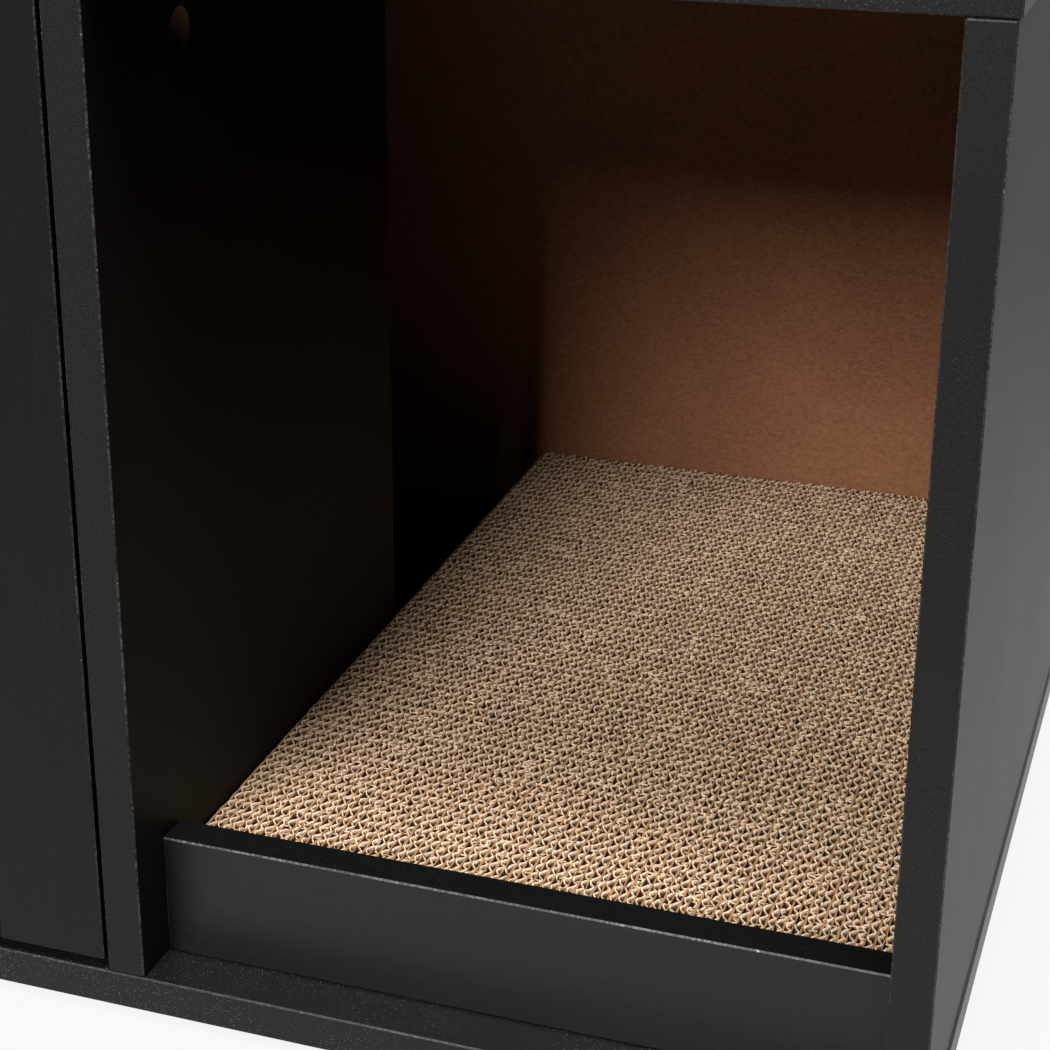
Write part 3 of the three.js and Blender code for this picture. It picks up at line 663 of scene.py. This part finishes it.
def nailed_back():
    """The back sheet again, with a small dent round each of its nails."""
    low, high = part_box("back_sheet")
    spots = []
    for z in (low.z + NAIL_INSET, high.z - NAIL_INSET):
        across = np.linspace(low.x + CORNER_INSET["rows"], high.x - CORNER_INSET["rows"], 9)
        spots += [(x, z) for x in across]
    for x in (low.x + NAIL_INSET, high.x - NAIL_INSET):
        upwards = np.linspace(low.z + CORNER_INSET["columns"], high.z - CORNER_INSET["columns"], 3)
        spots += [(x, z) for z in upwards]
    dents, nails = Turned(16), Turned(16)
    for x, z in spots:
        x, z = x + random.normal(0, NAIL_SCATTER_X), z + random.normal(0, NAIL_SCATTER_Z)
        dents.add(NAIL_DENT, (x, high.y, z), BACKWARDS)
        nails.add(NAIL, (x, high.y, z), BACKWARDS)
    cutter = bpy.data.objects.new("dents", dents.mesh("dents"))
    bpy.context.scene.collection.objects.link(cutter)
    sheet = bpy.data.objects.new("sheet", nodes["back_sheet"].data.copy())
    bpy.context.scene.collection.objects.link(sheet)
    cut = sheet.modifiers.new("dents", "BOOLEAN")
    cut.object, cut.operation, cut.solver = cutter, "DIFFERENCE", "EXACT"
    graph = bpy.context.evaluated_depsgraph_get()
    mesh = bpy.data.meshes.new_from_object(sheet.evaluated_get(graph))
    for spare in (cutter, sheet):
        bpy.data.objects.remove(spare)
    made = piece("nailed_back_sheet", mesh, "hardboard", "carcass")
    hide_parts("back_sheet")
    piece("back_nails", nails.mesh("back_nails"), "screw", "carcass")


nailed_back()


# ---- Stage -----------------------------------------------------------------------------------------

BACKGROUND = 0.48  # brightness of everything far from the cabinet, to the eye
AMBIENT = 0.015  # and of the light that comes from there
FADE_FROM, FADE_TO = 0.03, 0.8  # the floor's white fades between these distances from the cabinet
UNSHADED = 0.88  # the share of that white that takes no shadow


def white_for_the_eye(tree):
    """1 for rays from the camera and for rays seen in gloss or glass, and 0 for rays that carry light."""
    path = tree.nodes.new("ShaderNodeLightPath")
    seen = path.outputs["Is Camera Ray"]
    for other in ("Is Glossy Ray", "Is Transmission Ray"):
        most = tree.nodes.new("ShaderNodeMath")
        most.operation = "MAXIMUM"
        tree.links.new(seen, most.inputs[0])
        tree.links.new(path.outputs[other], most.inputs[1])
        seen = most.outputs[0]
    return seen


def away_from_cabinet(f):
    """The distance in plan from the cabinet's box."""
    low, high = cad_box
    steps = [("SUBTRACT", (low + high) / 2), ("ABSOLUTE", (0, 0, 0)), ("SUBTRACT", (high - low) / 2),
             ("MAXIMUM", (0, 0, 0)), ("MULTIPLY", (1, 1, 0))]
    away = f.place
    for operation, value in steps:
        away = f.node("ShaderNodeVectorMath", {0: away, 1: value}, operation=operation).outputs[0]
    return f.node("ShaderNodeVectorMath", {0: away}, operation="LENGTH").outputs["Value"]


def floor():
    """A pale floor that takes a shadow. It is white round the cabinet and falls to a pale grey far off."""
    size, below = 30.0, 0.2 * MM
    mesh = bpy.data.meshes.new("floor")
    corners = [(-size, -size, -below), (size, -size, -below), (size, size, -below), (-size, size, -below)]
    mesh.from_pydata(corners, [], [(0, 1, 2, 3)])
    made = bpy.data.objects.new("floor", mesh)
    bpy.context.scene.collection.objects.link(made)
    f = Finish("floor", grey(0.25), 0.9, **{"Specular IOR Level": 0.0})
    fade = {0: away_from_cabinet(f), 1: FADE_FROM, 2: FADE_TO}
    far = f.node("ShaderNodeMapRange", fade, interpolation_type="SMOOTHSTEP").outputs[0]
    white = f.node("ShaderNodeEmission", {"Strength": f.span(far, 0, 1, 1, BACKGROUND)})
    share = f.math("MULTIPLY", white_for_the_eye(f.tree), f.span(far, 0, 1, UNSHADED, 1.0))
    both = f.node("ShaderNodeMixShader", {0: share, 1: f.shader.outputs[0], 2: white.outputs[0]})
    f.feed(f.tree.nodes["Material Output"], {"Surface": both.outputs[0]})
    mesh.materials.append(f.material)


def world():
    made = bpy.data.worlds.new("studio")
    bpy.context.scene.world = made
    made.use_nodes = True
    tree = made.node_tree
    background = tree.nodes["Background"]
    background.inputs["Color"].default_value = (1, 1, 1, 1)
    strength = tree.nodes.new("ShaderNodeMapRange")
    strength.inputs["To Min"].default_value = AMBIENT
    strength.inputs["To Max"].default_value = BACKGROUND
    tree.links.new(white_for_the_eye(tree), strength.inputs["Value"])
    tree.links.new(strength.outputs[0], background.inputs["Strength"])


SOFTBOX_AWAY = 6.0
AIM = Vector((0.30, 0.0, 0.12))  # what the softboxes point at, in the entry


def softbox(name, azimuth, elevation, spread, level, color=(1, 1, 1)):
    """An area lamp, far off in a direction from its aim: azimuth in degrees to the right of the front, and
    spread its width and height in degrees. Level is how bright a white surface that faces it renders."""
    turn, rise = math.radians(azimuth), math.radians(elevation)
    way = Vector((math.sin(turn) * math.cos(rise), -math.cos(turn) * math.cos(rise), math.sin(rise)))
    lamp = bpy.data.lights.new(name, "AREA")
    lamp.shape = "RECTANGLE"
    lamp.size, lamp.size_y = (2 * SOFTBOX_AWAY * math.tan(math.radians(angle) / 2) for angle in spread)
    lamp.energy = level * (math.pi * SOFTBOX_AWAY) ** 2
    lamp.color = color
    made = bpy.data.objects.new(name, lamp)
    made.location = AIM + SOFTBOX_AWAY * way
    made.rotation_euler = way.to_track_quat("Z", "Y").to_euler()
    bpy.context.scene.collection.objects.link(made)


def camera():
    """The photograph's viewpoint: in front of the entry, to its right and above. The shifts are what the
    photograph's crop needs."""
    lens = bpy.data.cameras.new("camera")
    lens.sensor_width = 36
    lens.lens = 77.89
    lens.shift_x, lens.shift_y = 0.0648, -0.0336
    made = bpy.data.objects.new("camera", lens)
    made.location = (0.5283, -0.8898, 0.5131)
    made.rotation_euler = [math.radians(angle) for angle in (68.18, 0.28, 19.89)]
    bpy.context.scene.collection.objects.link(made)
    bpy.context.scene.camera = made


floor()
world()
softbox("key", -9, 30.2, (16, 18.5), 1.38)
softbox("front_top", 30, 69, (24, 14), 1.3)
softbox("left", -100, 35, (30, 30), 0.30)
softbox("right", 115, 30, (30, 30), 0.12, color=(1.0, 0.86, 0.90))
softbox("back", 180, 35, (30, 30), 0.50)
camera()
bpy.context.scene.view_settings.view_transform = "Standard"
